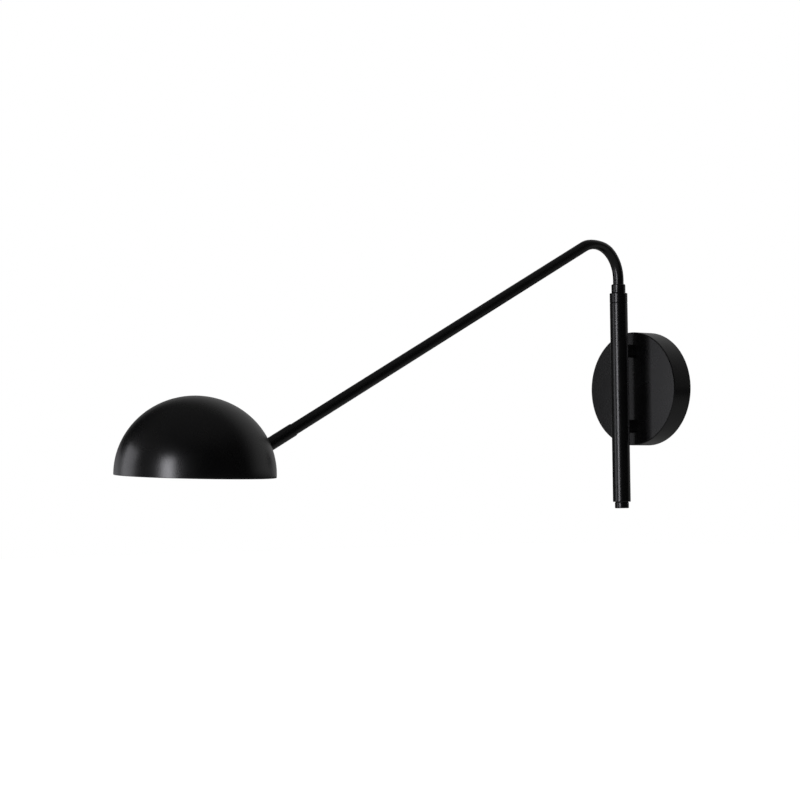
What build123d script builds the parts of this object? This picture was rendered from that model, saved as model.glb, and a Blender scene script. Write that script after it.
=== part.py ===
from build123d import *
import os
from math import cos, radians, sin, sqrt, tan

# A wall light: canopy, two standoffs, a pole, and a bent arm that swings about the pole's
# upright axis and carries a dome shade.
# Origin: centre of the canopy's back rim, on the wall. +X to the right as seen from the room,
# +Y into the wall, +Z up. Lengths in millimetres, angles in degrees.

# ------------------------------------------------------------------ canopy on the wall
canopy_diameter = 128.0
canopy_depth = 27.0
canopy_wall = 1.5
canopy_edge_chamfer = 0.9
side_screw_diameter = 4.0
side_screw_length = 8.0
side_screw_depth = 13.5  # distance of the side screws from the wall
side_screw_socket = 2.0  # across the flats of the hexagon socket

# ------------------------------------------------------------------ bracket under the canopy
bracket_width = 24.0
bracket_thickness = 2.0
bracket_tab_gap = 2.5  # from the tab's outer face to the canopy's inner wall
bracket_tab_length = 20.0
bracket_bend_radius = 3.0  # along the middle of the sheet
bracket_centre_hole = 10.0
box_screw_spacing = 79.4  # between the middles of the two slots
box_slot_length = 15.0
box_slot_width = 4.8
ground_screw_diameter = 4.0
ground_screw_head_diameter = 7.0
ground_screw_head_height = 2.2
ground_screw_x = 7.0
ground_screw_z = 16.0

# ------------------------------------------------------------------ standoffs and nipples
standoff_diameter = 15.0
standoff_length = 10.0  # from the canopy's face to the nearest line of the pole
standoff_spacing = 85.0
nipple_diameter = 10.0
nipple_bore = 7.0
thread_end = 1.5  # thread that stands out of a nut
nut_flats = 14.0
nut_thickness = 4.0
lock_washer_diameter = 17.0
lock_washer_thickness = 1.0
lock_washer_teeth = 12
lock_washer_notch = 1.4

# ------------------------------------------------------------------ pole and its bearings
pole_diameter = 20.0
pole_wall = 1.75
pole_top = 96.5  # height of the pole's upper end
pole_bottom = -127.6
seam_chamfer = 0.55
ring_height = 11.0
ring_edge_radius = 0.8
ring_spigot_length = 12.0
bush_wall = 1.15
lower_bush_length = 15.0
washer_thickness = 0.5
washer_overlap = 1.4  # how far a washer reaches past the tube, on the radius
end_cap_diameter = 15.7
end_cap_height = 6.7
end_cap_chamfer = 0.4  # on the edge next to the pole
end_cap_socket = 4.0
end_cap_edge_radius = 1.0
stop_screw_diameter = 3.0
stop_screw_socket = 1.5
stop_screw_height = 8.0  # above the pole's lower end
stop_slot_margin = 1.0  # angle left between screw and slot end at the limit
swing = 85.0  # each way from straight out of the wall

# ------------------------------------------------------------------ arm
tube_diameter = 12.0
tube_wall = 1.2
collar_diameter = 15.8
collar_height = 9.5
collar_top_chamfer = 0.8
collar_bottom_chamfer = 0.4
arm_rise = 5.8  # straight tube between the collar and the bend
bend_radius = 38.0  # along the tube's middle
arm_slope = 26.0  # below level
reach = 605.8  # level distance from the pole's axis to the shade's axis
wire_hole_diameter = 7.6
wire_hole_height = 12.0

# ------------------------------------------------------------------ shade and how it is held
shade_diameter = 158.4
shade_height = 78.4
shade_lip = 2.0  # straight wall at the rim
shade_wall = 1.2
rim_above_arm = 14.9  # rim's centre above the point where the arm's axis would pass it
shade_turn = 3.4  # how far the shade is turned about the arm's axis
sleeve_diameter = 13.4
sleeve_length = 54.0
sleeve_edge_chamfer = 0.4
sleeve_tube_depth = 20.0
nipple_in_sleeve = 14.0
saddle_diameter = 18.0
saddle_thickness = 3.5

# ------------------------------------------------------------------ lamp in the shade
strap_width = 14.0
strap_thickness = 1.5
strap_bend_radius = 2.5
strap_tab_below = 9.0  # tab below the nipple's axis
strap_top = 47.0  # height of the strap's level run above the rim
holder_behind = 22.5  # level distance from the nipple's end to the holder's back face
holder_middle = 36.0  # height above the rim
holder_flange_height = 19.0
holder_flange_thickness = 3.0
holder_diameter = 18.0
holder_length = 23.0
holder_screw_diameter = 2.5
holder_screw_head = 4.4
holder_screw_head_height = 1.6
holder_screw_length = 8.0
holder_screw_spacing = 12.0
bulb_base_diameter = 13.0
bulb_base_length = 9.0
bulb_diameter = 14.0
bulb_length = 34.0
pin_spacing = 9.0
pin_width = 3.0
pin_thickness = 1.0
pin_length = 8.0

# ------------------------------------------------------------------ wires
wire_diameter = 1.7
wire_spacing = 4.4
wire_bend_radius = 4.5
supply_tail = 30.0  # length of the supply wires that hangs in the canopy
splice_wall = 0.55
splice_length = 10.0
ground_wire_diameter = 2.0
terminal_thickness = 0.8
terminal_ring_width = 2.0
terminal_tongue_width = 4.0
terminal_tongue_length = 9.0
terminal_barrel_length = 4.5  # crimped tube at the tongue's end

# ------------------------------------------------------------------ clearances
fixed_gap = 0.02  # radial, between fixed or screwed pieces
running_gap = 0.05  # radial, between the arm tube and its bushes
spigot_gap = 0.05
hole_gap = 0.15  # radial, where a screw or nipple passes freely
seat_gap = 0.03  # between curved faces that seat on each other

# ------------------------------------------------------------------ places worked out from the sizes
canopy_radius = canopy_diameter / 2
canopy_inner = canopy_radius - canopy_wall
canopy_face = -canopy_depth
canopy_inside_face = canopy_face + canopy_wall
pole_radius = pole_diameter / 2
pole_bore = pole_radius - pole_wall
pole_y = canopy_face - standoff_length - pole_radius
standoff_heights = {"upper": standoff_spacing / 2, "lower": -standoff_spacing / 2}
nipple_radius = nipple_diameter / 2
wire_radius = wire_diameter / 2
tube_radius = tube_diameter / 2
tube_inner = tube_radius - tube_wall
bush_bore = tube_radius + running_gap
bush_radius = bush_bore + bush_wall
ring_top = pole_top + ring_height
collar_bottom = ring_top + washer_thickness
collar_top = collar_bottom + collar_height
cap_top = pole_bottom - washer_thickness
cap_bottom = cap_top - end_cap_height
tube_end = cap_top - end_cap_socket + hole_gap
stop_height = pole_bottom + stop_screw_height
bend_start = collar_top + arm_rise
bend_turn = 90.0 + arm_slope
apex = bend_start + bend_radius * tan(radians(bend_turn / 2))

nut_hole = nipple_radius + fixed_gap
screw_hole = ground_screw_diameter / 2 + fixed_gap
terminal_wire_height = terminal_thickness + ground_wire_diameter / 2 + fixed_gap
nut_terminal_plane = Plane(
    origin=(0, canopy_inside_face + lock_washer_thickness, standoff_heights["lower"]),
    x_dir=(0, 0, 1),
    z_dir=(0, 1, 0),
)
screw_terminal_plane = Plane(
    origin=(ground_screw_x, -bracket_thickness, ground_screw_z),
    x_dir=(0, 0, -1),
    z_dir=(0, -1, 0),
)

slope_cos = cos(radians(arm_slope))
slope_sin = sin(radians(arm_slope))
arm_out = Vector(0, -slope_cos, -slope_sin)  # along the arm, towards the shade
arm_up = Vector(0, -slope_sin, slope_cos)  # square to the arm, upwards
shade_y = pole_y - reach
arm_point = Vector(0, shade_y, apex - reach * slope_sin / slope_cos)
rim_z = arm_point.Z + rim_above_arm


def skin_distance(inset):
    """Distance along the arm from the shade's axis to the dome's skin, set in by inset."""
    width = shade_diameter / 2 - inset
    crown = shade_height - shade_lip - inset
    centre = rim_above_arm + shade_lip
    square = (slope_cos / width) ** 2 + (slope_sin / crown) ** 2
    linear = slope_sin * centre / crown**2
    rest = 1 - (centre / crown) ** 2
    return (linear + sqrt(linear**2 + square * rest)) / square


sleeve_seat = skin_distance(0)
sleeve_top = sleeve_seat + sleeve_length
arm_tube_stop = sleeve_top - sleeve_tube_depth
saddle_face = skin_distance(shade_wall) - saddle_thickness
strap_face = saddle_face - strap_thickness
shade_nut_face = strap_face - nut_thickness
splice_middle = sleeve_top + splice_length
nipple_end = shade_nut_face - thread_end
holder_back = nipple_end * slope_cos - holder_behind  # from the shade's axis towards the pole


# ------------------------------------------------------------------ helpers
def upright(radius, low, high, x=0.0, y=pole_y):
    """Solid cylinder about an upright line."""
    column = Cylinder(radius, high - low, align=(Align.CENTER, Align.CENTER, Align.MIN))
    return Pos(x, y, low) * column


def upright_ring(outer, inner, low, high):
    """Ring about the pole's axis."""
    return upright(outer, low, high) - upright(inner, low, high)


def level(radius, back, front, x=0.0, z=0.0):
    """Solid cylinder square to the wall, from y = back out to y = front."""
    rod = Cylinder(radius, back - front, align=(Align.CENTER, Align.CENTER, Align.MIN))
    return Pos(x, back, z) * Rot(90, 0, 0) * rod


def level_ring(outer, inner, back, front, z):
    """Ring square to the wall."""
    return level(outer, back, front, z=z) - level(inner, back, front, z=z)


def arm_plane(distance):
    """Plane square to the arm, this far from the shade's axis towards the pole."""
    return Plane(origin=arm_point - arm_out * distance, x_dir=(1, 0, 0), z_dir=arm_out)


def along_arm(radius, start, end):
    """Solid cylinder on the arm's axis, between two distances from the shade's axis."""
    rod = Cylinder(radius, start - end, align=(Align.CENTER, Align.CENTER, Align.MIN))
    return arm_plane(start) * rod


def along_arm_ring(outer, inner, start, end):
    """Ring on the arm's axis."""
    return along_arm(outer, start, end) - along_arm(inner, start, end)


def in_shade(x, out, up):
    """Point given from the rim's centre: across, towards the pole, and up."""
    return Vector(x, shade_y + out, rim_z + up)


def block(width, back, front, height, middle):
    """Box centred on a point of the shade's own grid, from one distance to another."""
    solid = Box(width, back - front, height)
    return Pos(*in_shade(middle[0], (back + front) / 2, middle[1])) * solid


def hexagon(flats, plane, height):
    """Hexagonal prism that rises from a plane."""
    return extrude(plane * RegularPolygon(flats / 2, 6, major_radius=False), amount=height)


def strip(points, bend, width, thickness):
    """Bent sheet whose middle follows the points."""
    path = FilletPolyline(*points, radius=bend)
    start = Plane(origin=path @ 0, x_dir=(1, 0, 0), z_dir=path % 0)
    return sweep(start * Rectangle(width, thickness), path=path)


def lead(points, radii, radius):
    """Round wire that follows the points."""
    path = FilletPolyline(*points, radius=radii)
    start = Plane(origin=path @ 0, z_dir=path % 0)
    return sweep(start * Circle(radius), path=path)


def easy_radii(points):
    """For each corner of a route, an arc as large as its two runs allow."""
    radii = []
    for before, corner, after in zip(points, points[1:], points[2:]):
        turn = (corner - before).get_angle(after - corner)
        shorter = min((corner - before).length, (after - corner).length)
        radii.append(0.45 * shorter / tan(radians(turn / 2)))
    return radii


def dome(inset):
    """Solid dome over the rim's plane, its skin set in from the shade's outer skin."""
    width = shade_diameter / 2 - inset
    crown = shade_height - shade_lip - inset
    bottom = Line((0, 0), (width, 0))
    wall = Line((width, 0), (width, shade_lip))
    top = shade_lip + crown
    quarter_ellipse = [1, sqrt(0.5), 1]  # weights of the arc's three points
    cap = Bezier((width, shade_lip), (width, top), (0, top), weights=quarter_ellipse)
    middle = Line((0, top), (0, 0))
    profile = make_face([bottom, wall, cap, middle])
    return Pos(*in_shade(0, 0, 0)) * revolve(Plane.XZ * profile, Axis.Z)


def group(shapes):
    """One node from its separate solids."""
    solids = [solid for shape in shapes for solid in shape.solids()]
    return solids[0] if len(solids) == 1 else Compound(children=solids)


def turned(shape):
    """The shade's pieces sit turned a little about the arm's axis."""
    axis = Axis(arm_point, -arm_out)
    return group([solid.rotate(axis, shade_turn) for solid in shape.solids()])


def swung(shape, angle):
    """Turned about the pole's axis."""
    return shape.rotate(Axis((0, pole_y, 0), (0, 0, 1)), angle)


# ------------------------------------------------------------------ wall side
def make_mounting_bracket():
    tab_z = canopy_inner - bracket_tab_gap - bracket_thickness / 2
    middle_y = -bracket_thickness / 2
    points = [
        (0, -bracket_tab_length, tab_z),
        (0, middle_y, tab_z),
        (0, middle_y, -tab_z),
        (0, -bracket_tab_length, -tab_z),
    ]
    bar = strip(points, bracket_bend_radius, bracket_width, bracket_thickness)
    for side in (1, -1):
        slot = Pos(0, side * box_screw_spacing / 2) * SlotOverall(box_slot_length, box_slot_width, 90)
        bar -= extrude(Plane.XZ * slot, amount=bracket_thickness)
    bar -= level(bracket_centre_hole / 2, 0, -bracket_thickness)
    bar -= level(screw_hole, 0, -bracket_thickness, ground_screw_x, ground_screw_z)
    side_hole = side_screw_diameter / 2 + fixed_gap
    bar -= upright(side_hole, -canopy_inner, canopy_inner, y=-side_screw_depth)
    return bar


def make_canopy_shell():
    shell = level(canopy_radius, 0, canopy_face)
    shell = chamfer(shell.edges().sort_by(Axis.Y)[0], canopy_edge_chamfer)
    shell -= level(canopy_inner, 0, canopy_inside_face)
    for height in standoff_heights.values():
        shell -= level(nipple_radius + hole_gap, canopy_inside_face, canopy_face, z=height)
    side_hole = side_screw_diameter / 2 + hole_gap
    shell -= upright(side_hole, -canopy_radius, canopy_radius, y=-side_screw_depth)
    return shell


def make_canopy_side_screws():
    screws = []
    end = sqrt(canopy_radius**2 - (side_screw_diameter / 2) ** 2)
    for side in (1, -1):
        low, high = sorted((side * end, side * (end - side_screw_length)))
        screw = upright(side_screw_diameter / 2, low, high, y=-side_screw_depth)
        mouth = Plane(origin=(0, -side_screw_depth, side * end), z_dir=(0, 0, -side))
        screws.append(screw - hexagon(side_screw_socket, mouth, side_screw_length / 3))
    return group(screws)


def make_ground_screw():
    x, z = ground_screw_x, ground_screw_z
    seat = -bracket_thickness - terminal_thickness
    head = level(ground_screw_head_diameter / 2, seat, seat - ground_screw_head_height, x, z)
    head = fillet(head.edges().sort_by(Axis.Y)[0], ground_screw_head_height / 3)
    screw = head + level(ground_screw_diameter / 2, 0, seat, x, z)
    slot_depth = ground_screw_head_height / 2
    slot = Box(ground_screw_head_diameter, slot_depth * 2, slot_depth)
    return screw - Pos(x, seat - ground_screw_head_height, z) * slot


def terminal(plane, hole):
    """Ring terminal that lies on a plane, its tongue and barrel along the plane's x axis."""
    ring = Circle(hole + terminal_ring_width)
    tongue = Rectangle(terminal_tongue_length, terminal_tongue_width, align=(Align.MIN, Align.CENTER))
    flat = ring + Pos(hole, 0) * tongue - Circle(hole)
    inner = ground_wire_diameter / 2 + fixed_gap
    barrel = Circle(inner + terminal_thickness) - Circle(inner)
    start = hole + terminal_tongue_length - terminal_barrel_length
    barrel = Pos(start, 0, terminal_wire_height) * Rot(0, 90, 0) * barrel
    tube = extrude(barrel, amount=terminal_barrel_length, dir=(1, 0, 0))
    return plane * (extrude(flat, amount=terminal_thickness) + tube)


def make_ground_terminals():
    return group([terminal(nut_terminal_plane, nut_hole), terminal(screw_terminal_plane, screw_hole)])


def make_ground_wire():
    reach_in = terminal_tongue_length - terminal_barrel_length
    start = nut_terminal_plane.from_local_coords((nut_hole + reach_in, 0, terminal_wire_height))
    end = screw_terminal_plane.from_local_coords((screw_hole + reach_in, 0, terminal_wire_height))
    straight = terminal_barrel_length * 2
    points = [
        start,
        start + nut_terminal_plane.x_dir * straight,
        end + screw_terminal_plane.x_dir * straight,
        end,
    ]
    return lead(points, easy_radii(points), ground_wire_diameter / 2)


def make_standoff(height):
    spacer = level_ring(
        standoff_diameter / 2, nipple_radius + hole_gap, canopy_face, pole_y, height
    )
    return spacer - upright(pole_radius + seat_gap, height - pole_radius, height + pole_radius)


def canopy_nut_seat(height):
    """Inner face that a canopy nut bears on: the lower one has the earth terminal under it."""
    seat = canopy_inside_face + lock_washer_thickness
    return seat + terminal_thickness if height < 0 else seat


def make_nipple(height):
    end = canopy_nut_seat(height) + nut_thickness + thread_end
    tube = level_ring(nipple_radius, nipple_bore / 2, end, pole_y, height)
    return tube - upright(pole_bore, height - pole_radius, height + pole_radius)


def make_lock_washers():
    washers = []
    back = canopy_inside_face + lock_washer_thickness
    inner = nipple_radius + hole_gap
    for height in standoff_heights.values():
        washer = level_ring(lock_washer_diameter / 2, inner, back, canopy_inside_face, height)
        notch = Box(lock_washer_notch, lock_washer_thickness * 2, lock_washer_notch)
        for step in range(lock_washer_teeth):
            place = Pos(0, back, height) * Rot(0, step * 360 / lock_washer_teeth, 0)
            washer -= place * Pos(lock_washer_diameter / 2, 0, 0) * notch
        washers.append(washer)
    return group(washers)


def make_canopy_nuts():
    nuts = []
    for height in standoff_heights.values():
        seat = canopy_nut_seat(height)
        plane = Plane(origin=(0, seat, height), x_dir=(1, 0, 0), z_dir=(0, 1, 0))
        nut = hexagon(nut_flats, plane, nut_thickness)
        back = seat + nut_thickness
        nuts.append(nut - level(nut_hole, back, seat, z=height))
    return group(nuts)


def make_supply_wires():
    height = standoff_heights["upper"]
    inner_end = pole_y + tube_radius + hole_gap * 2
    turn_y = canopy_nut_seat(height) + nut_thickness + thread_end + wire_bend_radius
    wires = []
    for side in (1, -1):
        x = side * wire_spacing / 2
        points = [(x, inner_end, height), (x, turn_y, height), (x, turn_y, height - supply_tail)]
        wires.append(lead(points, wire_bend_radius, wire_radius))
    return group(wires)


# ------------------------------------------------------------------ pole
def make_pole_tube():
    tube = upright_ring(pole_radius, pole_bore, pole_bottom, pole_top)
    outer_edges = tube.edges().filter_by(GeomType.CIRCLE).sort_by(SortBy.RADIUS)[-2:]
    tube = chamfer(outer_edges, seam_chamfer)
    for height in standoff_heights.values():
        tube -= level(nipple_radius + fixed_gap, pole_y + pole_radius, pole_y, z=height)
    return tube - level(
        stop_screw_diameter / 2 + fixed_gap, pole_y + pole_radius, pole_y, z=stop_height
    )


def make_pole_top_ring():
    head = upright(pole_radius, pole_top, ring_top)
    head = chamfer(head.edges().sort_by(Axis.Z)[0], seam_chamfer)
    head = fillet(head.edges().sort_by(Axis.Z)[-1], ring_edge_radius)
    head += upright(pole_bore - spigot_gap, pole_top - ring_spigot_length, pole_top + seam_chamfer)
    return head - upright(bush_radius + fixed_gap, pole_top - ring_spigot_length, ring_top)


def make_lower_bush():
    outer = pole_bore - spigot_gap
    bush = upright_ring(outer, bush_bore, pole_bottom, pole_bottom + lower_bush_length)
    stop_hole = stop_screw_diameter / 2 + fixed_gap
    return bush - level(stop_hole, pole_y + pole_radius, pole_y, z=stop_height)


def make_stop_screw():
    outer = pole_y + sqrt(pole_radius**2 - (stop_screw_diameter / 2) ** 2)
    tip = pole_y + tube_inner + hole_gap
    screw = level(stop_screw_diameter / 2, outer, tip, z=stop_height)
    mouth = Plane(origin=(0, outer, stop_height), x_dir=(1, 0, 0), z_dir=(0, -1, 0))
    return screw - hexagon(stop_screw_socket, mouth, stop_screw_diameter / 2)


def make_thrust_washer():
    outer = tube_radius + washer_overlap
    return upright_ring(outer, tube_radius + hole_gap, ring_top, collar_bottom)


def make_friction_washer():
    outer = tube_radius + washer_overlap
    return upright_ring(outer, tube_radius + hole_gap, cap_top, pole_bottom)


# ------------------------------------------------------------------ arm
def make_arm_tube():
    end = arm_point - arm_out * arm_tube_stop
    path = FilletPolyline((0, pole_y, tube_end), (0, pole_y, apex), end, radius=bend_radius)
    start = Plane(origin=path @ 0, z_dir=path % 0)
    tube = sweep(start * (Circle(tube_radius) - Circle(tube_inner)), path=path)
    tube -= level(wire_hole_diameter / 2, pole_y + tube_diameter, pole_y, z=wire_hole_height)
    half_height = stop_screw_diameter / 2 + hole_gap
    half_angle = swing + stop_slot_margin
    slot_plane = Plane(origin=(0, pole_y, stop_height), x_dir=(0, 1, 0), z_dir=(1, 0, 0))
    depth = tube_wall * 3
    slot = slot_plane * Pos(tube_radius - tube_wall / 2, 0) * Rectangle(depth, half_height * 2)
    tube -= revolve(swung(slot, -half_angle), Axis((0, pole_y, 0), (0, 0, 1)), half_angle * 2)
    slot_end = level(half_height, pole_y + tube_diameter, pole_y, z=stop_height)
    for angle in (-half_angle, half_angle):
        tube -= swung(slot_end, angle)
    return tube


def make_top_collar():
    collar = upright(collar_diameter / 2, collar_bottom, collar_top)
    collar = chamfer(collar.edges().sort_by(Axis.Z)[-1], collar_top_chamfer)
    collar = chamfer(collar.edges().sort_by(Axis.Z)[0], collar_bottom_chamfer)
    return collar - upright(tube_radius + fixed_gap, collar_bottom, collar_top)


def make_end_cap():
    cap = upright(end_cap_diameter / 2, cap_bottom, cap_top)
    cap = fillet(cap.edges().sort_by(Axis.Z)[0], end_cap_edge_radius)
    cap = chamfer(cap.edges().sort_by(Axis.Z)[-1], end_cap_chamfer)
    return cap - upright(tube_radius + fixed_gap, cap_top - end_cap_socket, cap_top)


def make_arm_wires():
    mouth_y = pole_y + pole_bore - hole_gap * 4
    end = arm_point - arm_out * splice_middle
    wires = []
    for side in (1, -1):
        x = Vector(side * wire_spacing / 2, 0, 0)
        points = [
            Vector(0, mouth_y, wire_hole_height) + x,
            Vector(0, pole_y, wire_hole_height) + x,
            Vector(0, pole_y, apex) + x,
            end + x.rotate(Axis((0, 0, 0), -arm_out), shade_turn),
        ]
        wires.append(lead(points, [wire_bend_radius, bend_radius], wire_radius))
    return group(wires)


def make_lead_splices():
    inner = wire_radius + fixed_gap
    splices = []
    for side in (1, -1):
        shift = Pos(side * wire_spacing / 2, 0, 0)
        start, end = splice_middle + splice_length / 2, splice_middle - splice_length / 2
        splices.append(shift * along_arm_ring(inner + splice_wall, inner, start, end))
    return group(splices)


# ------------------------------------------------------------------ shade
def make_shade():
    shell = dome(0) - dome(shade_wall)
    rim = shell.edges().group_by(Axis.Z)[0]
    shell = fillet(rim, shade_wall / 3)
    return shell - along_arm(nipple_radius + hole_gap, sleeve_top, saddle_face)


def make_shade_collar():
    sleeve = along_arm(sleeve_diameter / 2, sleeve_top, saddle_face)
    sleeve = chamfer(sleeve.edges().sort_by(Axis((0, 0, 0), arm_out))[0], sleeve_edge_chamfer)
    sleeve -= along_arm(nipple_radius + fixed_gap, sleeve_top, saddle_face)
    sleeve -= along_arm(tube_radius + fixed_gap, sleeve_top, arm_tube_stop - hole_gap)
    return sleeve - dome(-seat_gap)


def make_shade_nipple():
    start = sleeve_seat + nipple_in_sleeve
    return along_arm_ring(nipple_radius, nipple_bore / 2, start, nipple_end)


def make_saddle_washer():
    washer = along_arm(saddle_diameter / 2, sleeve_seat, saddle_face)
    hole = along_arm(nipple_radius + hole_gap, sleeve_seat, saddle_face)
    return (washer & dome(shade_wall + seat_gap)) - hole


def make_shade_nut():
    nut = hexagon(nut_flats, arm_plane(strap_face), nut_thickness)
    return nut - along_arm(nipple_radius + fixed_gap, strap_face, shade_nut_face)


# ------------------------------------------------------------------ lamp
def make_lamp_bracket():
    middle = arm_point - arm_out * (saddle_face - strap_thickness / 2)
    up_to_top = (rim_z + strap_top - middle.Z) / arm_up.Z
    back_run = holder_back + strap_thickness / 2
    points = [
        middle - arm_up * strap_tab_below,
        middle + arm_up * up_to_top,
        in_shade(0, back_run, strap_top),
        in_shade(0, back_run, holder_middle - holder_flange_height / 2),
    ]
    strap = strip(points, strap_bend_radius, strap_width, strap_thickness)
    strap -= along_arm(nipple_radius + hole_gap, saddle_face, strap_face)
    back, front = back_run + shade_y + strap_thickness, back_run + shade_y - strap_thickness
    strap -= level(nipple_bore / 2, back, front, z=rim_z + holder_middle)
    for height in holder_screw_heights():
        strap -= level(holder_screw_diameter / 2 + hole_gap, back, front, z=height)
    return strap


def holder_screw_heights():
    middle = rim_z + holder_middle
    return (middle + holder_screw_spacing / 2, middle - holder_screw_spacing / 2)


def make_lamp_holder():
    back, front = holder_back + shade_y, holder_back - holder_length + shade_y
    flange_front = holder_back - holder_flange_thickness
    holder = block(strap_width, holder_back, flange_front, holder_flange_height, (0, holder_middle))
    holder += level(holder_diameter / 2, back, front, z=rim_z + holder_middle)
    screw_end = back + strap_thickness - holder_screw_length - hole_gap
    for height in holder_screw_heights():
        holder -= level(holder_screw_diameter / 2 + fixed_gap, back, screw_end, z=height)
    slot_back = holder_back - holder_length + pin_length + 2 * hole_gap
    slot_front = holder_back - holder_length
    for side in (1, -1):
        slot_middle = (side * pin_spacing / 2, holder_middle)
        width, height = pin_width + 2 * hole_gap, pin_thickness + 2 * hole_gap
        holder -= block(width, slot_back, slot_front, height, slot_middle)
    return holder


def make_holder_screws():
    seat = holder_back + strap_thickness + shade_y
    screws = []
    for height in holder_screw_heights():
        head = level(holder_screw_head / 2, seat + holder_screw_head_height, seat, z=height)
        shank = level(holder_screw_diameter / 2, seat, seat - holder_screw_length, z=height)
        screws.append(head + shank)
    return group(screws)


def make_holder_leads():
    start = arm_point - arm_out * splice_middle
    leaving = arm_point - arm_out * (nipple_end - wire_diameter * 3)
    behind = holder_back + strap_thickness + holder_screw_head_height + wire_diameter * 2
    wires = []
    for side in (1, -1):
        x = Vector(side * wire_spacing / 2, 0, 0)
        points = [
            start + x,
            leaving + x,
            in_shade(0, behind + wire_diameter, holder_middle - holder_diameter * 0.75) + x,
            in_shade(0, behind, holder_middle) + x,
            in_shade(0, holder_back, holder_middle) + x,
        ]
        wires.append(lead(points, easy_radii(points), wire_radius))
    return group(wires)


def make_bulb_base():
    back = holder_back - holder_length + shade_y
    height = rim_z + holder_middle
    base = level(bulb_base_diameter / 2, back, back - bulb_base_length, z=height)
    return chamfer(base.edges().sort_by(Axis.Y)[-1], bulb_base_length / 9)


def make_bulb_pins():
    back = holder_back - holder_length
    pins = []
    for side in (1, -1):
        middle = (side * pin_spacing / 2, holder_middle)
        pins.append(block(pin_width, back + pin_length, back, pin_thickness, middle))
    return group(pins)


def make_bulb_glass():
    back = holder_back - holder_length - bulb_base_length + shade_y
    glass = level(bulb_diameter / 2, back, back - bulb_length, z=rim_z + holder_middle)
    return fillet(glass.edges().sort_by(Axis.Y)[0], bulb_diameter * 0.45)


# ------------------------------------------------------------------ every node
wall_pieces = {
    "mounting_bracket": make_mounting_bracket(),
    "ground_screw": make_ground_screw(),
    "ground_terminals": make_ground_terminals(),
    "ground_wire": make_ground_wire(),
    "canopy_shell": make_canopy_shell(),
    "canopy_side_screws": make_canopy_side_screws(),
    "lock_washers": make_lock_washers(),
    "canopy_nuts": make_canopy_nuts(),
    "supply_wires": make_supply_wires(),
    "pole_tube": make_pole_tube(),
    "pole_top_ring": make_pole_top_ring(),
    "upper_bush": upright_ring(bush_radius, bush_bore, pole_top - ring_spigot_length, ring_top),
    "lower_bush": make_lower_bush(),
    "stop_screw": make_stop_screw(),
    "thrust_washer": make_thrust_washer(),
    "friction_washer": make_friction_washer(),
}
for place, height in standoff_heights.items():
    wall_pieces["standoff_" + place] = make_standoff(height)
    wall_pieces["nipple_" + place] = make_nipple(height)

arm_pieces = {
    "arm_tube": make_arm_tube(),
    "top_collar": make_top_collar(),
    "end_cap": make_end_cap(),
    "arm_wires": make_arm_wires(),
}

shade_pieces = {
    "shade": make_shade(),
    "shade_collar": make_shade_collar(),
    "shade_nipple": make_shade_nipple(),
    "saddle_washer": make_saddle_washer(),
    "shade_nut": make_shade_nut(),
    "lamp_bracket": make_lamp_bracket(),
    "lamp_holder": make_lamp_holder(),
    "holder_screws": make_holder_screws(),
    "holder_leads": make_holder_leads(),
    "lead_splices": make_lead_splices(),
    "bulb_base": make_bulb_base(),
    "bulb_pins": make_bulb_pins(),
    "bulb_glass": make_bulb_glass(),
}

pieces = wall_pieces | arm_pieces
for name, shape in shade_pieces.items():
    pieces[name] = turned(shape)

os.makedirs("parts", exist_ok=True)
for name, shape in pieces.items():
    export_step(shape, f"parts/{name}.step")
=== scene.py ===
from math import atan2, cos, pi, radians, sin, sqrt, tan

import bmesh
import bpy
from mathutils import Matrix, Vector


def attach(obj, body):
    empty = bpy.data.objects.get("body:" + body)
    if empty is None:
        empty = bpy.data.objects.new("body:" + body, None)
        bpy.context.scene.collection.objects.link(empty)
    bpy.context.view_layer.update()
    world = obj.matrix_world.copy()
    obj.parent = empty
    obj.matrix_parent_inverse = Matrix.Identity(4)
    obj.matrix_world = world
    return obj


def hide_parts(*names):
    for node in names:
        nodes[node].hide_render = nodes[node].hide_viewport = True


# Looks of the wall light. Metres and degrees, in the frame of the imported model:
# +X right as seen from the room, +Y into the wall, +Z up.

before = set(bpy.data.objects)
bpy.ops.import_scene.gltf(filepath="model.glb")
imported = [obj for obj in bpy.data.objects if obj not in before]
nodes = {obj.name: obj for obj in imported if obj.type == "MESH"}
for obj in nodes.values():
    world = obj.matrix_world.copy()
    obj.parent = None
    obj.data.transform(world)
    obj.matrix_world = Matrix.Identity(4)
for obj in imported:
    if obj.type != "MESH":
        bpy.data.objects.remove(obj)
bpy.context.view_layer.update()

MM = 0.001

# ------------------------------------------------------------------ camera of the photograph
view_azimuth = 47.7356
view_elevation = -2.1458  # below the horizon, so the camera looks slightly upwards
view_roll = -0.7518
view_distance = 2.8698
view_aim = Vector((-0.09038, -0.3, -0.0136))
view_lens = 118.78  # mm
view_sensor = 36.0  # mm

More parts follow.
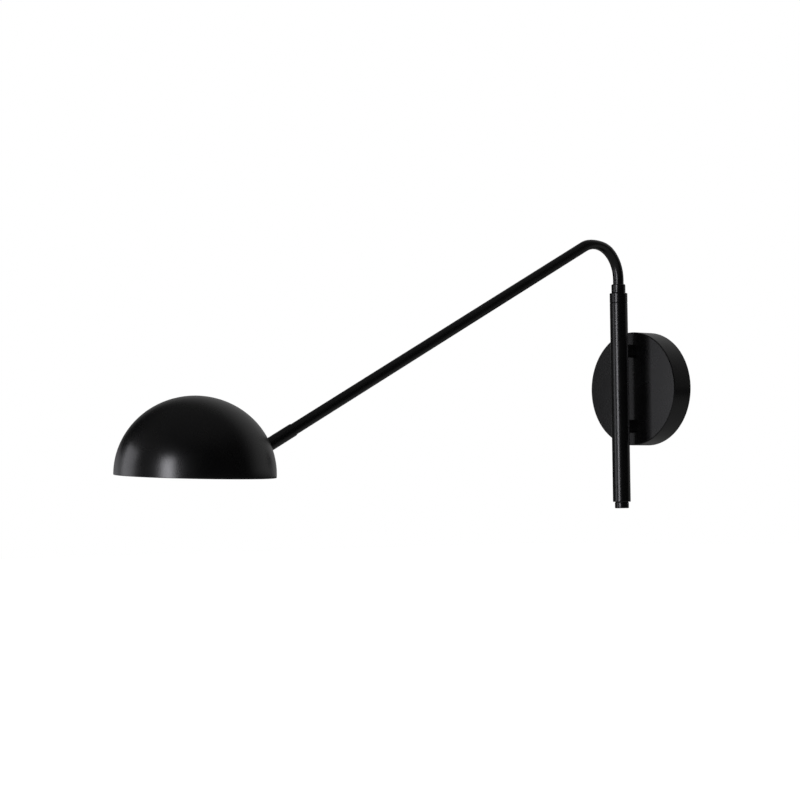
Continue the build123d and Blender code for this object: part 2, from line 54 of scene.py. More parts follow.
# ------------------------------------------------------------------ sizes shared with the CAD source
canopy_inside_face = -25.5 * MM
standoff_heights = {"upper": 42.5 * MM, "lower": -42.5 * MM}
lock_washer_thickness = 1.0 * MM
terminal_thickness = 0.8 * MM
nipple_radius = 5.0 * MM
nipple_bore = 3.5 * MM  # inner radius
nut_flats = 14.0 * MM
nut_thickness = 4.0 * MM
thread_end = 1.5 * MM  # thread that stands out of a nut
wire_spacing = 4.4 * MM
wire_bend_radius = 4.5 * MM
supply_tail = 30.0 * MM
pole_y = -47.0 * MM
pole_bore = 8.25 * MM  # inner radius
pole_top = 96.5 * MM
ring_height = 11.0 * MM
washer_thickness = 0.5 * MM
collar_height = 9.5 * MM
arm_rise = 5.8 * MM
arm_slope = 26.0
bend_radius = 38.0 * MM
reach = 605.8 * MM
shade_turn = 3.4
shade_radius = 79.2 * MM
shade_height = 78.4 * MM
shade_lip = 2.0 * MM
shade_wall = 1.2 * MM
rim_above_arm = 14.9 * MM
saddle_thickness = 3.5 * MM
strap_thickness = 1.5 * MM
strap_width = 14.0 * MM
nipple_in_sleeve = 14.0 * MM
holder_behind = 22.5 * MM  # from the nipple's end
holder_middle = 36.0 * MM  # above the rim
holder_radius = 9.0 * MM
holder_length = 23.0 * MM
holder_flange_thickness = 3.0 * MM
holder_flange_height = 19.0 * MM
holder_screw_radius = 1.25 * MM
holder_screw_head_radius = 2.2 * MM
holder_screw_head_height = 1.6 * MM
holder_screw_length = 8.0 * MM
holder_screw_spacing = 12.0 * MM
pin_spacing = 9.0 * MM
bulb_base_length = 9.0 * MM
bulb_radius = 7.0 * MM
bulb_length = 34.0 * MM

# ------------------------------------------------------------------ sizes of the scene's own detail
on_axis = 0.01 * MM  # radius of a turned outline's points that close it on its axis
hole_play = 0.02 * MM
pin_slot = (3.3 * MM, 8.3 * MM, 1.3 * MM)  # width, depth and height
thread_pitch = 1.0 * MM
thread_depth = 0.55 * MM
thread_flank = 1.2  # steepness of a groove's sides
nut_edge = 0.5 * MM  # countersink of a nut's hole
nut_face_share = 0.97  # width of a nut's round face, as a share of its flats
nut_corner_slope = 30

# ------------------------------------------------------------------ the shade's own grid
bend_start = pole_top + ring_height + washer_thickness + collar_height + arm_rise
apex = bend_start + bend_radius * tan(radians((90 + arm_slope) / 2))
arm_out = Vector((0, -cos(radians(arm_slope)), -sin(radians(arm_slope))))
arm_point = Vector((0, pole_y - reach, apex - reach * tan(radians(arm_slope))))
turn_shade = (
    Matrix.Translation(arm_point)
    @ Matrix.Rotation(radians(shade_turn), 4, -arm_out)
    @ Matrix.Translation(-arm_point)
)
shade_grid = turn_shade @ Matrix.Translation(arm_point + Vector((0, 0, rim_above_arm)))
arm_turn = Matrix((Vector((1, 0, 0)), arm_out.cross(Vector((1, 0, 0))), arm_out)).transposed()
arm_grid = turn_shade @ Matrix.Translation(arm_point) @ arm_turn.to_4x4()


def skin_distance(inset):
    """Distance along the arm from the shade's axis to the dome's skin, set in by inset."""
    across, rise = cos(radians(arm_slope)), sin(radians(arm_slope))
    width, crown = shade_radius - inset, shade_height - shade_lip - inset
    centre = rim_above_arm + shade_lip
    square = (across / width) ** 2 + (rise / crown) ** 2
    linear = rise * centre / crown**2
    rest = 1 - (centre / crown) ** 2
    return (linear + sqrt(linear**2 + square * rest)) / square


shade_nut_seat = skin_distance(shade_wall) - saddle_thickness - strap_thickness
nipple_end = shade_nut_seat - nut_thickness - thread_end
holder_back = nipple_end * cos(radians(arm_slope)) - holder_behind


# ------------------------------------------------------------------ node helpers
def node_adder(tree):
    """Empties a node tree and gives a function that adds a node with its values."""
    tree.nodes.clear()

    def add(kind, **values):
        node = tree.nodes.new(kind)
        for key, value in values.items():
            if key in node.inputs:
                node.inputs[key].default_value = value
            else:
                setattr(node, key, value)
        return node

    return add


def new_material(name):
    """Empty material, as (material, add a node, join two sockets)."""
    material = bpy.data.materials.new(name)
    material.use_nodes = True
    tree = material.node_tree
    return material, node_adder(tree), tree.links.new


def noise(add, join, scale, detail=3.0, stretch=(1, 1, 1)):
    """Noise over the object's own grid, its scale in features per metre."""
    place = add("ShaderNodeTexCoord")
    spread = add("ShaderNodeMapping", vector_type="POINT", Scale=stretch)
    texture = add("ShaderNodeTexNoise", Scale=scale, Detail=detail)
    join(place.outputs["Object"], spread.inputs["Vector"])
    join(spread.outputs["Vector"], texture.inputs["Vector"])
    return texture.outputs["Fac"]


def spread_over(add, join, source, low, high, start=0.3, end=0.7):
    """A value from low to high as the source goes from start to end."""
    change = add("ShaderNodeMapRange")
    change.inputs["From Min"].default_value = start
    change.inputs["From Max"].default_value = end
    change.inputs["To Min"].default_value = low
    change.inputs["To Max"].default_value = high
    join(source, change.inputs["Value"])
    return change.outputs["Result"]


def blend_colours(add, join, share, first, second):
    """A colour between two, by a share."""
    mix = add("ShaderNodeMix", data_type="RGBA", A=(*first, 1), B=(*second, 1))
    join(share, mix.inputs["Factor"])
    return mix.outputs["Result"]


def blend_shaders(add, join, share, first, second):
    """A shader between two, by a share."""
    mix = add("ShaderNodeMixShader")
    join(share, mix.inputs["Fac"])
    join(first.outputs[0], mix.inputs[1])
    join(second.outputs[0], mix.inputs[2])
    return mix


def bump(add, join, height, depth):
    """Relief from a height between 0 and 1, over a depth."""
    relief = add("ShaderNodeBump", Distance=depth)
    join(height, relief.inputs["Height"])
    return relief.outputs["Normal"]


def finish_material(add, join, shader):
    """Leads a shader to the material's output."""
    output = add("ShaderNodeOutputMaterial")
    join(shader.outputs[0], output.inputs["Surface"])


# ------------------------------------------------------------------ materials
def grained(name, colours, roughness, broad, grain, depth, dull_grain=False, **values):
    """Material that changes its colour broadly and faintly, with a fine grain as its relief.

    broad and grain are the scale and detail of their noise. The roughness follows the broad
    noise, or the grain where that is dull.
    """
    material, add, join = new_material(name)
    shader = add("ShaderNodeBsdfPrincipled", **values)
    spots = noise(add, join, *broad)
    fine = noise(add, join, *grain)
    gloss = fine if dull_grain else spots
    join(blend_colours(add, join, spots, *colours), shader.inputs["Base Color"])
    join(spread_over(add, join, gloss, *roughness), shader.inputs["Roughness"])
    join(bump(add, join, fine, depth), shader.inputs["Normal"])
    finish_material(add, join, shader)
    return material


def painted(name, dark, light, roughness, grain, depth, specular=0.5):
    """Sprayed or powder-coated paint: a fine orange peel and a slightly uneven gloss."""
    shine = {"Specular IOR Level": specular}
    return grained(name, (dark, light), roughness, (35.0, 2.0), (grain, 2.0), depth, **shine)


def metal(name, dark, light, roughness, grain, depth, stretch=(1, 1, 1)):
    """Plated metal with a dull film on it, its grain drawn out where it is stretched."""
    fine = (grain, 3.0, stretch)
    return grained(name, (dark, light), roughness, (60.0, 4.0), fine, depth, True, Metallic=0.7)


def plastic(name, dark, light, roughness, grain, depth, scatter=0.0):
    """Moulded or extruded plastic, rubber or ceramic."""
    inside = {"Subsurface Weight": scatter, "Subsurface Scale": 0.5 * MM}
    return grained(name, (dark, light), roughness, (90.0, 2.0), (grain, 2.0), depth, **inside)


def frosted_glass():
    """Etched glass: light goes through it softly."""
    material, add, join = new_material("frosted_glass")
    shader = add("ShaderNodeBsdfPrincipled", IOR=1.5)
    shader.inputs["Transmission Weight"].default_value = 0.85
    shader.inputs["Base Color"].default_value = (0.93, 0.93, 0.91, 1)
    etch = noise(add, join, 2500, 3.0)
    join(spread_over(add, join, etch, 0.26, 0.36), shader.inputs["Roughness"])
    join(bump(add, join, etch, 0.006 * MM), shader.inputs["Normal"])
    finish_material(add, join, shader)
    return material


# name, darker and lighter colour, range of roughness, grain per metre, its depth, and what is special
black_paint = painted(
    "satin_black", (0.0005, 0.0005, 0.0006), (0.0008, 0.0008, 0.0009), (0.25, 0.29), 1400, 0.001 * MM, 0.6
)
white_paint = painted(
    "matt_white_inside", (0.74, 0.735, 0.72), (0.79, 0.785, 0.77), (0.42, 0.52), 1100, 0.01 * MM
)
bracket_steel = metal(
    "zinc_plated_sheet", (0.42, 0.43, 0.44), (0.52, 0.52, 0.51), (0.4, 0.55), 700, 0.004 * MM, (6, 6, 0.4)
)
fastener_steel = metal(
    "plated_fastener", (0.44, 0.44, 0.43), (0.56, 0.55, 0.53), (0.36, 0.48), 1500, 0.002 * MM
)
black_screw = metal(
    "black_oxide", (0.004, 0.004, 0.004), (0.008, 0.008, 0.008), (0.3, 0.42), 1800, 0.002 * MM
)
earth_screw = metal(
    "green_zinc", (0.012, 0.12, 0.025), (0.022, 0.17, 0.04), (0.34, 0.46), 1500, 0.002 * MM
)
pin_metal = metal(
    "tinned_wire", (0.5, 0.49, 0.46), (0.6, 0.58, 0.55), (0.3, 0.4), 1500, 0.002 * MM
)
filament_metal = metal(
    "tungsten", (0.16, 0.15, 0.14), (0.24, 0.23, 0.22), (0.35, 0.45), 2500, 0.002 * MM
)
bush_nylon = plastic(
    "black_nylon", (0.004, 0.004, 0.004), (0.007, 0.007, 0.007), (0.38, 0.5), 900, 0.004 * MM
)
washer_fibre = plastic(
    "fibre_washer", (0.003, 0.003, 0.003), (0.006, 0.006, 0.006), (0.6, 0.8), 2500, 0.02 * MM
)
wire_black = plastic(
    "black_wire", (0.004, 0.004, 0.004), (0.008, 0.008, 0.008), (0.35, 0.5), 1800, 0.006 * MM
)
wire_green = plastic(
    "green_wire", (0.01, 0.13, 0.02), (0.02, 0.18, 0.035), (0.35, 0.5), 1800, 0.006 * MM
)
wire_white = plastic(
    "white_lead", (0.6, 0.59, 0.55), (0.68, 0.67, 0.63), (0.55, 0.7), 3000, 0.01 * MM
)
splice_nylon = plastic(
    "splice_cap", (0.4, 0.014, 0.01), (0.48, 0.02, 0.014), (0.3, 0.42), 900, 0.005 * MM, 0.1
)
holder_ceramic = plastic(
    "glazed_ceramic", (0.68, 0.66, 0.6), (0.74, 0.72, 0.66), (0.14, 0.24), 500, 0.01 * MM
)
bulb_ceramic = plastic(
    "matt_ceramic", (0.68, 0.67, 0.64), (0.75, 0.74, 0.72), (0.45, 0.6), 1500, 0.01 * MM
)
bulb_glass = frosted_glass()

slot_materials = {
    "black_paint": black_paint,
    "bracket_steel": bracket_steel,
    "fastener_steel": fastener_steel,
    "black_screw": black_screw,
    "earth_screw": earth_screw,
    "bush_nylon": bush_nylon,
    "washer_fibre": washer_fibre,
    "wire_black": wire_black,
    "wire_green": wire_green,
    "wire_white": wire_white,
    "splice_nylon": splice_nylon,
    "holder_ceramic": holder_ceramic,
    "bulb_base_ceramic": bulb_ceramic,
    "pin_metal": pin_metal,
    "bulb_glass": bulb_glass,
}

for node in nodes.values():
    for place in node.material_slots:
        place.material = slot_materials[place.material.name]


# ------------------------------------------------------------------ mesh helpers
def show(name, data):
    """New object of the scene."""
    thing = bpy.data.objects.new(name, data)
    bpy.context.scene.collection.objects.link(thing)
    return thing


def mesh_object(name, bm, materials, body, replaced=()):
    """Piece from a finished mesh, its creases kept sharp."""
    bmesh.ops.recalc_face_normals(bm, faces=bm.faces)
    mesh = bpy.data.meshes.new(name)
    bm.to_mesh(mesh)
    bm.free()
    for material in materials:
        mesh.materials.append(material)
    mesh.shade_smooth()
    mesh.set_sharp_from_angle(angle=radians(27))
    piece = show(name, mesh)
    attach(piece, body)
    if replaced:
        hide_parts(*replaced)
    return piece


def spin(bm, outline, steps, grid, material_of=None):
    """Closed outline of (radius, height) points turned about the grid's Z axis.

    The outline is a list, or a function that gives one for an angle.
    """
    rings = []
    for step in range(steps):
        angle = 2 * pi * step / steps
        c, s = cos(angle), sin(angle)
        points = outline(angle) if callable(outline) else outline
        rings.append([bm.verts.new(grid @ Vector((r * c, r * s, z))) for r, z in points])
    count = len(rings[0])
    for ring, following in zip(rings, rings[1:] + rings[:1]):
        for k in range(count):
            after = (k + 1) % count
            face = bm.faces.new((ring[k], following[k], following[after], ring[after]))
            if material_of:
                face.material_index = material_of(k)


def quarter(steps):
    """Cosine and sine of angles from 0 to 90 degrees."""
    for step in range(steps + 1):
        angle = pi / 2 * step / steps
        yield cos(angle), sin(angle)


def facing(origin, z_axis):
    """Grid at a point, its Z along an axis that is square to X."""
    x_axis = Vector((1, 0, 0))
    z_axis = Vector(z_axis)
    turn = Matrix((x_axis, z_axis.cross(x_axis), z_axis)).transposed()
    return Matrix.Translation(origin) @ turn.to_4x4()


def block(bm, grid, middle, size):
    """Plain box, given by its middle and its three sizes."""
    place = grid @ Matrix.Translation(middle) @ Matrix.Diagonal((*size, 1))
    return bmesh.ops.create_cube(bm, size=1.0, matrix=place)["verts"]


def carve(piece, cutter_mesh):
    """Takes the closed shapes of a mesh out of a piece."""
    cutter = show("cutter", bpy.data.meshes.new("cutter"))
    cutter_mesh.to_mesh(cutter.data)
    cutter_mesh.free()
    cut = piece.modifiers.new("cut", "BOOLEAN")
    cut.operation = "DIFFERENCE"
    cut.solver = "EXACT"
    cut.object = cutter
    bpy.context.view_layer.update()
    shown = piece.evaluated_get(bpy.context.evaluated_depsgraph_get())
    carved = bpy.data.meshes.new_from_object(shown)
    piece.modifiers.clear()
    piece.data = carved
    bpy.data.objects.remove(cutter)


# ------------------------------------------------------------------ shade
def shade_outline(inset, steps):
    """Points of one skin from the rim up to the crown, on the lip and the quarter ellipse."""
    width, crown = shade_radius - inset, shade_height - shade_lip - inset
    return [(width * c, shade_lip + crown * s) for c, s in quarter(steps)]


def make_shade():
    """Spun dome with a rounded rim, black outside and white inside."""
    skin_steps, rim_steps, around = 64, 8, 192
    edge = shade_wall / 2
    rim = []
    for step in range(1, rim_steps):
        angle = pi * step / rim_steps
        middle = shade_radius - edge
        rim.append((middle - edge * cos(angle), edge - edge * sin(angle)))
    outer = shade_outline(0, skin_steps)
    inner = shade_outline(shade_wall, skin_steps)
    inner_side = [(shade_radius - shade_wall, edge)] + inner[:-1]
    outer_side = outer[::-1][1:] + [(shade_radius, edge)]
    crown = [(on_axis, inner[-1][1]), (on_axis, outer[-1][1])]
    outline = inner_side + crown + outer_side + rim[::-1]
    last_inner = len(inner_side)
    bm = bmesh.new()
    spin(bm, outline, around, shade_grid, lambda k: 1 if k < last_inner else 0)
    mesh_object("shade_dome", bm, [black_paint, white_paint], "arm", ["shade"])


# ------------------------------------------------------------------ arm tube and its wires
def reshaped(name, node, move):
    """Copy of an arm piece with its points moved, in that piece's place."""
    mesh = nodes[node].data.copy()
    for vertex in mesh.vertices:
        vertex.co = move(vertex.co)
    piece = show(name, mesh)
    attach(piece, "arm")
    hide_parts(node)


def make_bent_tube():
    """Arm tube, drawn slightly flat on the outside of its bend."""
    flat_start, flat_end = radians(50), radians(121)  # turned about the bend's centre
    flattening, widening = 0.27, 0.03
    centre = Vector((0, pole_y - bend_radius, bend_start))

    def move(point):
        y, z = point.y - centre.y, point.z - centre.z
        share = (atan2(z, y) - flat_start) / (flat_end - flat_start)
        if not 0 < share < 1:
            return point
        amount = sin(pi * share) ** 2
        radius = sqrt(y * y + z * z)
        outward = max(0, radius - bend_radius)
        factor = 1 - outward * flattening * amount / radius
        return centre + Vector((point.x * (1 + widening * amount), y * factor, z * factor))

    reshaped("bent_tube", "arm_tube", move)


def make_arm_leads():
    """Wires of the arm, their ends kept clear of the pole's bore as the arm swings."""
    end_start, shorter = pole_y + 6.5 * MM, 0.7 * MM

    def move(point):
        return point - Vector((0, shorter, 0)) if point.y > end_start else point

    reshaped("arm_leads", "arm_wires", move)


# ------------------------------------------------------------------ nuts and threaded tubes
def nut(bm, grid):
    """Hexagon nut that rises from the grid's plane, its corners taken off by a cone."""
    around = 96
    hole = nipple_radius + hole_play
    face = nut_flats / 2 * nut_face_share

    def outline(angle):
        side = nut_flats / 2 / cos(angle % (pi / 3) - pi / 6)
        drop = (side - face) * tan(radians(nut_corner_slope))
        low = [(hole + nut_edge, 0), (face, 0), (side, drop)]
        high = [(side, nut_thickness - drop), (face, nut_thickness), (hole + nut_edge, nut_thickness)]
        return low + high + [(hole, nut_thickness - nut_edge), (hole, nut_edge)]

    spin(bm, outline, around, grid)


def threaded_tube(bm, grid, end, start, start_inside):
    """Tube with an outer thread up to a height, from where start and start_inside say."""
    rows_to_a_turn, around = 8, 64
    rows = int((end - start(0)) / thread_pitch * rows_to_a_turn)

    def outline(angle):
        low = start(angle)
        points = []
        for row in range(rows + 1):
            height = low + (end - low) * row / rows
            turn = (height / thread_pitch - angle / (2 * pi)) % 1
            groove = thread_depth * max(0, 1 - abs(2 * turn - 1) * thread_flank)
            chamfer = max(0, thread_depth - (end - height))
            points.append((nipple_radius - max(groove, chamfer), height))
        return points + [(nipple_bore, end), (nipple_bore, start_inside(angle))]

    spin(bm, outline, around, grid)


def canopy_nut_seat(place):
    """Y of the face that a canopy nut sits on."""
    seat = canopy_inside_face + lock_washer_thickness
    return seat + terminal_thickness if place == "lower" else seat


def bore_curve(radius):
    """Start of a canopy nipple's skin on the pole's bore, for an angle about the nipple."""
    return lambda angle: pole_y + sqrt(pole_bore**2 - (radius * cos(angle)) ** 2)


def make_canopy_hardware():
    """Nuts on the two nipples, which end in the curve of the pole's bore."""
    nuts = bmesh.new()
    for place, height in standoff_heights.items():
        seat = canopy_nut_seat(place)
        nut(nuts, facing((0, seat, height), (0, 1, 0)))
        tube = bmesh.new()
        end = seat + nut_thickness + thread_end
        grid = facing((0, 0, height), (0, 1, 0))
        threaded_tube(tube, grid, end, bore_curve(nipple_radius), bore_curve(nipple_bore))
        name = "nipple_" + place
        mesh_object("threaded_" + name, tube, [fastener_steel], "wall_base", [name])
    mesh_object("chamfered_nuts", nuts, [fastener_steel], "wall_base", ["canopy_nuts"])


def make_shade_hardware():
    """Nut and nipple that clamp the shade on the arm."""
    start = skin_distance(0) + nipple_in_sleeve
    bm = bmesh.new()
    nut(bm, arm_grid @ Matrix.Translation((0, 0, -shade_nut_seat)))
    mesh_object("chamfered_shade_nut", bm, [fastener_steel], "arm", ["shade_nut"])
    bm = bmesh.new()
    threaded_tube(bm, arm_grid, -nipple_end, lambda angle: -start, lambda angle: -start)
    mesh_object("threaded_shade_nipple", bm, [fastener_steel], "arm", ["shade_nipple"])


def make_supply_ends():
    """Stripped and twisted ends of the supply wires, in the canopy."""
    bare, strands, twist = 7.0 * MM, 7, 2 * pi / (5 * MM)
    radius, ridge, rows, around = 0.48 * MM, 0.07 * MM, 40, 56
    end_share, taper_length = 0.6, 0.6 * MM
    low = standoff_heights["upper"] - supply_tail - bare
    y = canopy_nut_seat("upper") + nut_thickness + thread_end + wire_bend_radius

    def outline(angle):
        points = []
        for row in range(rows + 1):
            height = bare * row / rows
            lobe = abs(sin(strands / 2 * (angle + twist * height)))
            taper = min(1, end_share + height / taper_length)
            points.append(((radius + ridge * lobe) * taper, height))
        return [(on_axis, 0)] + points + [(on_axis, bare)]

    bm = bmesh.new()
    for side in (1, -1):
        spin(bm, outline, around, Matrix.Translation((side * wire_spacing / 2, y, low)))
    mesh_object("supply_ends", bm, [pin_metal], "wall_base")


# ------------------------------------------------------------------ lamp
def make_holder():
    """Ceramic holder: a round body on an upright flange, with the two slots for the pins."""
    edge, flange_edge, around = 0.8 * MM, 0.5 * MM, 96
    back = shade_grid @ Matrix.Translation((0, holder_back, holder_middle))
    body = back @ facing((0, 0, 0), (0, -1, 0))
    rib_start, rib_end, rib = holder_length * 0.62, holder_length * 0.72, 0.35 * MM
    inner = holder_radius - rib
    outline = [(on_axis, 0), (inner, 0), (inner, rib_start - rib), (holder_radius, rib_start)]
    outline += [(holder_radius, rib_end), (inner, rib_end + rib)]
    outline += [(inner - edge + edge * c, holder_length - edge + edge * s) for c, s in quarter(6)]
    outline.append((on_axis, holder_length))
    bm = bmesh.new()
    spin(bm, outline, around, body)
    middle = (0, -holder_flange_thickness / 2, 0)
    corners = block(bm, back, middle, (strap_width, holder_flange_thickness, holder_flange_height))
    edges = {side for corner in corners for side in corner.link_edges}
    bmesh.ops.bevel(bm, geom=list(edges), offset=flange_edge, segments=3, affect="EDGES", profile=0.5)
    holder = mesh_object("ceramic_holder", bm, [holder_ceramic], "arm", ["lamp_holder"])
    slots = bmesh.new()
    width, depth, height = pin_slot
    for side in (1, -1):
        place = (side * pin_spacing / 2, -holder_length + depth / 2 - hole_play, 0)
        block(slots, back, place, (width, depth + hole_play, height))
    carve(holder, slots)


def make_holder_screws():
    """Pan head screws with a slot."""
    tip_share, seat_share, flat_share, rim_share = 0.7, 0.96, 0.55, 0.4
    slot_width, slot_turn, around = 0.6 * MM, 20, 48
    bm = bmesh.new()
    slots = bmesh.new()
    head, tall, shank = holder_screw_head_radius, holder_screw_head_height, holder_screw_radius
    outline = [(on_axis, -holder_screw_length), (shank * tip_share, -holder_screw_length)]
    outline += [(shank, -holder_screw_length + shank), (shank, 0), (head * seat_share, 0)]
    for c, s in quarter(8):
        radius = head * (flat_share + (1 - flat_share) * c)
        outline.append((radius, tall * (rim_share + (1 - rim_share) * s)))
    outline.append((on_axis, tall))
    for side in (1, -1):
        height = holder_middle + side * holder_screw_spacing / 2
        seat = facing((0, holder_back + strap_thickness, height), (0, 1, 0))
        grid = shade_grid @ seat @ Matrix.Rotation(radians(slot_turn * side), 4, "Z")
        spin(bm, outline, around, grid)
        block(slots, grid, (0, 0, tall), (head * 3, slot_width, tall))
    screws = mesh_object("slotted_screws", bm, [fastener_steel], "arm", ["holder_screws"])
    carve(screws, slots)


bulb_start = (0, holder_back - holder_length - bulb_base_length, holder_middle)
bulb_grid = shade_grid @ facing(bulb_start, (0, -1, 0))


def make_bulb():
    """Frosted capsule, hollow, with its sealed tip."""
    wall, neck, shoulder, pip = 0.8 * MM, 5.2 * MM, 4.5 * MM, 0.7 * MM
    shoulder_steps, around = 8, 72
    tip = bulb_length - pip
    round_start = tip - bulb_radius

    def skin(inset):
        radius, low = bulb_radius - inset, neck - inset
        points = []
        for step in range(shoulder_steps + 1):
            share = step / shoulder_steps
            ease = share * share * (3 - 2 * share)
            points.append((low + (radius - low) * ease, shoulder * share))
        return points + [(radius * c, round_start + radius * s) for c, s in quarter(16)][:-1]

    outer = skin(0) + [(pip * 1.2, tip - pip * 0.1), (pip, tip + pip * 0.5), (pip * 0.5, bulb_length)]
    outline = outer + [(on_axis, bulb_length), (on_axis, tip - wall)] + skin(wall)[::-1]
    bm = bmesh.new()
    spin(bm, outline, around, bulb_grid)
    mesh_object("bulb_envelope", bm, [bulb_glass], "arm", ["bulb_glass"])


def make_filament():
    """Coiled filament on its two supports, in the capsule."""
    coil, turns, turn_steps, wire = 0.9 * MM, 14, 12, 0.14 * MM
    half, low, high = 2.4 * MM, 9.0 * MM, 22.0 * MM
    over = high + half
    coil_points = []
    for step in range(turns * turn_steps + 1):
        angle = 2 * pi * step / turn_steps
        height = low + (high - low) * step / (turns * turn_steps)
        coil_points.append((coil * cos(angle), coil * sin(angle), height))
    left = [(-half, 0, 0), (-half, 0, low * 0.6), (-half * 0.4, 0, low * 0.8), coil_points[0]]
    right = [(half, 0, 0), (half, 0, high * 0.9), (half, 0, over), (half * 0.4, 0, over), coil_points[-1]]
    curve = bpy.data.curves.new("lamp_filament", "CURVE")
    curve.dimensions = "3D"
    curve.bevel_depth = wire
    curve.bevel_resolution = 3
    for points in (coil_points, left, right):
        line = curve.splines.new("NURBS")
        line.points.add(len(points) - 1)
        for point, place in zip(line.points, points):
            point.co = (*(bulb_grid @ Vector(place)), 1)
        line.order_u = 3
        line.use_endpoint_u = True
    curve.materials.append(filament_metal)
    filament = show("lamp_filament", curve)
    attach(filament, "arm")


make_shade()
make_bent_tube()
make_arm_leads()
make_canopy_hardware()
make_shade_hardware()
make_supply_ends()
make_holder()
make_holder_screws()
make_bulb()
make_filament()


# ------------------------------------------------------------------ the room, its light and the camera
def toward(angle, rise=0.0):
    """Direction turned from the camera towards the picture's right, and raised."""
    turn, lift = radians(view_azimuth + angle), radians(rise)
    return Vector((sin(turn) * cos(lift), -cos(turn) * cos(lift), sin(lift)))


room_soft = 0.8  # strength of the light from all round
room_dark = 0.004  # reflected level of the unlit part of the room
room_patches = (
    # direction, where the patch starts and is full as a cosine, and its reflected level
    ((0, 0, 1), 0.5, 1.0, 0.07),
    (toward(148, 1), 0.4, 0.83, 0.27),
    (toward(-80), 0.45, 0.95, 0.08),
)
softboxes = (
    # name, turned from the camera, distance from the dome, below it, width, height, watts, spread
    ("far_strip", -33.7, 1.6, 0.11, 0.46, 1.5, 16.7, 180),
    ("near_strip", -102, 0.75, 0.0, 0.4, 0.62, 1.16, 180),
    ("side_strip", -138, 0.75, 0.04, 0.36, 0.34, 0.0255, 70),
)
softbox_colour = (0.95, 0.945, 1.0)
dome_middle = 0.03  # above the shade's rim
floor_height = -3.2
floor_half = 120.0  # from its middle to its sides
floor_cells = 12
floor_glow = 0.9  # added where the camera sees it
painted_pool_level = 0.17  # painted pool of light: the floor's level in reflections, below the light
painted_pool_fade = (6.0, 30.0)  # distances at which that painted pool of light starts and ends its fall


def make_floor():
    """Pale floor far below, white to the camera and keeping a soft shadow; in reflections it shows a
    painted pool of light that fades with distance from its middle.
    """
    material, add, join = new_material("studio_floor")
    rays = add("ShaderNodeLightPath")
    paper = add("ShaderNodeBsdfDiffuse")
    grain = noise(add, join, 3.0, 4.0)
    join(blend_colours(add, join, grain, (0.76, 0.76, 0.755), (0.8, 0.8, 0.795)), paper.inputs["Color"])
    glow = add("ShaderNodeEmission", Strength=floor_glow)
    lit = add("ShaderNodeAddShader")
    join(paper.outputs[0], lit.inputs[0])
    join(glow.outputs[0], lit.inputs[1])
    seen = blend_shaders(add, join, rays.outputs["Is Camera Ray"], paper, lit)
    place = add("ShaderNodeTexCoord")
    distance = add("ShaderNodeVectorMath", operation="LENGTH")
    join(place.outputs["Object"], distance.inputs[0])
    # painted pool of light: an emission seen only in reflections, fading with distance from the floor's
    # middle
    level = spread_over(add, join, distance.outputs["Value"], painted_pool_level, room_dark, *painted_pool_fade)
    painted_light_pool = add("ShaderNodeEmission", Color=(1, 1, 1, 1))
    join(level, painted_light_pool.inputs["Strength"])
    finish_material(add, join, blend_shaders(add, join, rays.outputs["Is Glossy Ray"], seen, painted_light_pool))
    bm = bmesh.new()
    bmesh.ops.create_grid(bm, x_segments=floor_cells, y_segments=floor_cells, size=floor_half)
    mesh = bpy.data.meshes.new("floor")
    bm.to_mesh(mesh)
    bm.free()
    mesh.materials.append(material)
    floor = show("floor", mesh)
    floor.location = (0, 0, floor_height)


def room_level(add, join):
    """Level that glossy surfaces reflect: the dark room and its bright patches."""
    place = add("ShaderNodeTexCoord")
    total = None
    for direction, start, end, level in room_patches:
        near = add("ShaderNodeVectorMath", operation="DOT_PRODUCT")
        near.inputs[1].default_value = Vector(direction)
        join(place.outputs["Generated"], near.inputs[0])
        fade = add("ShaderNodeMapRange", interpolation_type="SMOOTHSTEP")
        fade.inputs["From Min"].default_value = start
        fade.inputs["From Max"].default_value = end
        fade.inputs["To Max"].default_value = level
        join(near.outputs["Value"], fade.inputs["Value"])
        plus = add("ShaderNodeMath", operation="ADD")
        plus.inputs[0].default_value = room_dark
        if total:
            join(total, plus.inputs[0])
        join(fade.outputs["Result"], plus.inputs[1])
        total = plus.outputs[0]
    return total


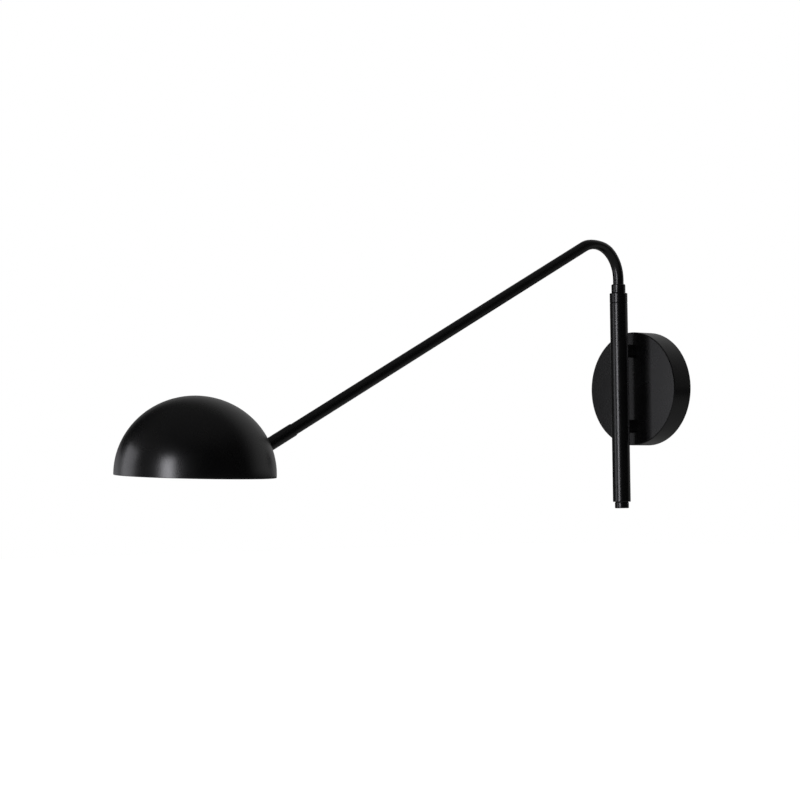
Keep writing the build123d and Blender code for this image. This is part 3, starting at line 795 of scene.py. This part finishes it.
def make_world():
    """White where it is seen, plain for soft light, and a studio room in the reflections."""
    world = bpy.data.worlds.new("studio")
    bpy.context.scene.world = world
    world.use_nodes = True
    add, join = node_adder(world.node_tree), world.node_tree.links.new
    white = (1, 1, 1, 1)
    rays = add("ShaderNodeLightPath")
    soft = add("ShaderNodeBackground", Color=white, Strength=room_soft)
    shine = add("ShaderNodeBackground", Color=white)
    join(room_level(add, join), shine.inputs["Strength"])
    unseen = blend_shaders(add, join, rays.outputs["Is Glossy Ray"], soft, shine)
    direct = add("ShaderNodeMath", operation="MAXIMUM")
    join(rays.outputs["Is Camera Ray"], direct.inputs[0])
    join(rays.outputs["Is Transmission Ray"], direct.inputs[1])
    seen = add("ShaderNodeBackground", Color=white, Strength=1.0)
    both = blend_shaders(add, join, direct.outputs[0], unseen, seen)
    output = add("ShaderNodeOutputWorld")
    join(both.outputs[0], output.inputs["Surface"])


def make_lights():
    """Upright softboxes that face the dome, their light kept within their spread."""
    dome = shade_grid @ Vector((0, 0, dome_middle))
    for name, angle, distance, below, width, height, power, spread in softboxes:
        lamp = bpy.data.lights.new(name, "AREA")
        lamp.shape = "RECTANGLE"
        lamp.size = width
        lamp.size_y = height
        lamp.energy = power
        lamp.spread = radians(spread)
        lamp.color = softbox_colour
        softbox = show(name, lamp)
        softbox.location = dome + toward(angle) * distance - Vector((0, 0, below))
        softbox.rotation_mode = "QUATERNION"
        softbox.rotation_quaternion = (dome - softbox.location).to_track_quat("-Z", "Y")


def make_camera():
    """Camera at the photograph's place."""
    a, e, r = radians(view_azimuth), radians(view_elevation), radians(view_roll)
    forward = Vector((-sin(a) * cos(e), cos(a) * cos(e), -sin(e)))
    right = Vector((cos(a), sin(a), 0))
    up = right.cross(forward)
    x_axis = right * cos(r) + up * sin(r)
    y_axis = up * cos(r) - right * sin(r)
    turn = Matrix((x_axis, y_axis, -forward)).transposed()
    data = bpy.data.cameras.new("photo_camera")
    data.lens = view_lens
    data.sensor_width = view_sensor
    data.clip_start, data.clip_end = 0.05, 300.0
    camera = show("photo_camera", data)
    camera.matrix_world = Matrix.Translation(view_aim - forward * view_distance) @ turn.to_4x4()
    bpy.context.scene.camera = camera


make_floor()
make_world()
make_lights()
make_camera()
bpy.context.scene.view_settings.view_transform = "Standard"

bpy.context.view_layer.update()
